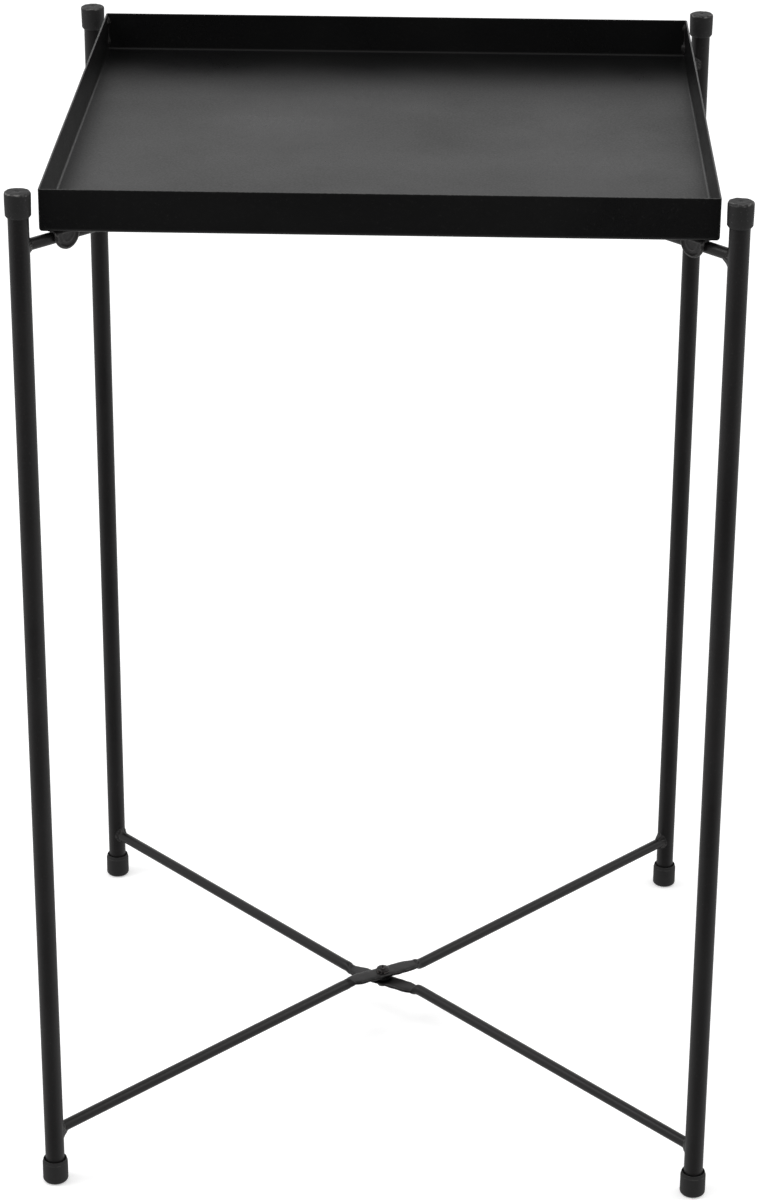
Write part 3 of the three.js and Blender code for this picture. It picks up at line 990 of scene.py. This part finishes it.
def weld_spot(across, size, top, seed):
    """A lump of weld where a lug's outer face meets the tray."""
    rows, steps = 13, 24
    rings = []
    for row in range(rows):
        turn = math.pi * (row + 0.5) / rows
        ring = []
        for step in range(steps):
            angle = 2 * math.pi * step / steps
            point = Vector((0.62 * math.sin(turn) * math.cos(angle), math.cos(turn),
                            0.8 * math.sin(turn) * math.sin(angle)))
            grow = size * (1 + 0.3 * wobble(point, 0.8, seed))
            ring.append(Vector((0.4 - TAB_BACK, across, top - 0.75 * size)) + point * grow)
        rings.append(ring)
    return skin(rings)


def add_tabs():
    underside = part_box("tray_pan")[0].z / MM
    for index, (corner, (name, side, end)) in enumerate(CORNERS.items()):
        height = bar_height(name, "upper")
        along_bar = end * (HALF_BAR - TAB_FROM_LEG)
        place = (frame_matrix(side)
                 @ Matrix.Translation((along_bar, -side * end * NEST_OFFSET, height))
                 @ Matrix.Rotation(-side * end * math.pi / 2, 4, "Z"))
        top = underside - height
        node = f"tray_tab_{corner}"
        tab = make_object(node, tray_tab(top - 0.05, index + 2.2), place)
        piece(node, tab, TAB_COAT, "tray")
        for count, (towards_leg, size) in enumerate(TAB_WELDS):
            shape = weld_spot(-side * towards_leg, size, top, index + 3.7 * count)
            spot = make_object(node, shape, place)
            piece(f"tray_tab_weld_{corner}_{count}", spot, WELD_COAT, "tray",
                  nodes=[])


# ------------------------------------------------------------------ floor, light and camera

SKY_LIGHT = 0.9
GROUND_LIGHT = 0.7
FRONT_DIMMING = 0.82
FRONT_ABOVE = 0.2          # share of that dimming that is left above the table
FLOOR_GLOW = 0.35          # keeps the floor as pale as the background


FLOOR_REACH = 9000.0
FLOOR_HEIGHT = -0.05       # just under the feet, so that the two don't coincide


def add_floor():
    material, nodes, links, shader = new_material("pale_floor")
    cloud = noise_node(nodes, links, 3.0, 3.0)
    colour = mixed(nodes, links, ranged(nodes, links, cloud, 0.3, 0.7, 0.0, 1.0),
                   (0.86, 0.86, 0.86), (0.88, 0.88, 0.88))
    links.new(colour, shader.inputs["Base Color"])
    shader.inputs["Roughness"].default_value = 0.9
    shader.inputs["Specular IOR Level"].default_value = 0.1
    shader.inputs["Emission Color"].default_value = (1, 1, 1, 1)
    shader.inputs["Emission Strength"].default_value = FLOOR_GLOW
    points = [(x * FLOOR_REACH, y * FLOOR_REACH, FLOOR_HEIGHT)
              for x, y in ((-1, -1), (1, -1), (1, 1), (-1, 1))]
    floor = make_object("floor", (points, [(0, 1, 2, 3)]))
    floor.data.materials.append(material)
    floor.visible_glossy = False


def add_world():
    """A soft white surround, dim in front of the table from its own height down to the floor
    and less so above and right below. The background itself is plain white."""
    world = bpy.data.worlds.new("studio")
    world.use_nodes = True
    bpy.context.scene.world = world
    nodes, links = world.node_tree.nodes, world.node_tree.links
    background = nodes["Background"]
    where = nodes.new("ShaderNodeTexCoord")
    split = nodes.new("ShaderNodeSeparateXYZ")
    links.new(where.outputs["Generated"], split.inputs["Vector"])
    back, height = split.outputs["Y"], split.outputs["Z"]
    front = ranged(nodes, links, back, -0.25, -0.8, 0.0, 1.0)
    under = ranged(nodes, links, height, -1.0, -0.5, 0.0, FRONT_DIMMING)
    over = ranged(nodes, links, height, -0.1, 0.35, 1.0, FRONT_ABOVE)
    dimmed = multiplied(nodes, links, front, multiplied(nodes, links, under, over))
    even = ranged(nodes, links, height, -0.1, 0.05, GROUND_LIGHT, SKY_LIGHT)
    left = ranged(nodes, links, dimmed, 0.0, 1.0, 1.0, 0.0)
    links.new(multiplied(nodes, links, even, left), background.inputs["Strength"])

    plain = nodes.new("ShaderNodeBackground")
    seen = nodes.new("ShaderNodeLightPath")
    choose = nodes.new("ShaderNodeMixShader")
    links.new(seen.outputs["Is Camera Ray"], choose.inputs["Fac"])
    links.new(background.outputs["Background"], choose.inputs[1])
    links.new(plain.outputs["Background"], choose.inputs[2])
    links.new(choose.outputs["Shader"], nodes["World Output"].inputs["Surface"])
    background.inputs["Color"].default_value = (1, 1, 1, 1)
    plain.inputs["Color"].default_value = (1, 1, 1, 1)


LIT = Vector((0, 0, 0.35))


def soft_light(name, place, size, watts):
    """A round soft light that faces the middle of the table."""
    light = bpy.data.lights.new(name, "AREA")
    light.shape = "DISK"
    light.size = size
    light.energy = watts
    obj = bpy.data.objects.new(name, light)
    bpy.context.scene.collection.objects.link(obj)
    obj.location = place
    obj.rotation_euler = (LIT - Vector(place)).to_track_quat("-Z", "Y").to_euler()


def add_camera():
    """A long lens that looks down on the table from in front."""
    yaw = math.radians(1.57)
    pitch = math.radians(24.31)
    roll = math.radians(0.31)
    target = Vector((-0.0036, 0.0, 0.3142))
    distance = 2.2516
    sensor, lens = 36.0, 104.67
    ahead = Vector((-math.sin(yaw) * math.cos(pitch), math.cos(yaw) * math.cos(pitch),
                    -math.sin(pitch)))
    level = Vector((math.cos(yaw), math.sin(yaw), 0))
    above = level.cross(ahead)
    right = math.cos(roll) * level + math.sin(roll) * above
    up = -math.sin(roll) * level + math.cos(roll) * above
    camera = bpy.data.cameras.new("camera")
    camera.sensor_width, camera.lens = sensor, lens
    camera.clip_start, camera.clip_end = 0.05, 60.0
    obj = bpy.data.objects.new("camera", camera)
    bpy.context.scene.collection.objects.link(obj)
    turn = Matrix((right, up, -ahead)).transposed().to_4x4()
    obj.matrix_world = Matrix.Translation(target - distance * ahead) @ turn
    bpy.context.scene.camera = obj


# ------------------------------------------------------------------ the whole scene

add_camera()
add_world()
soft_light("key", place=(-1.7, -0.3, 2.3), size=1.2, watts=18)
soft_light("fill", place=(1.8, 0.3, 1.9), size=1.4, watts=7)
add_floor()
add_legs()
add_caps_and_feet()
add_crossbars()
add_welds()
add_pivots()
add_tray()
add_tabs()

scene = bpy.context.scene
scene.view_settings.view_transform = "Standard"
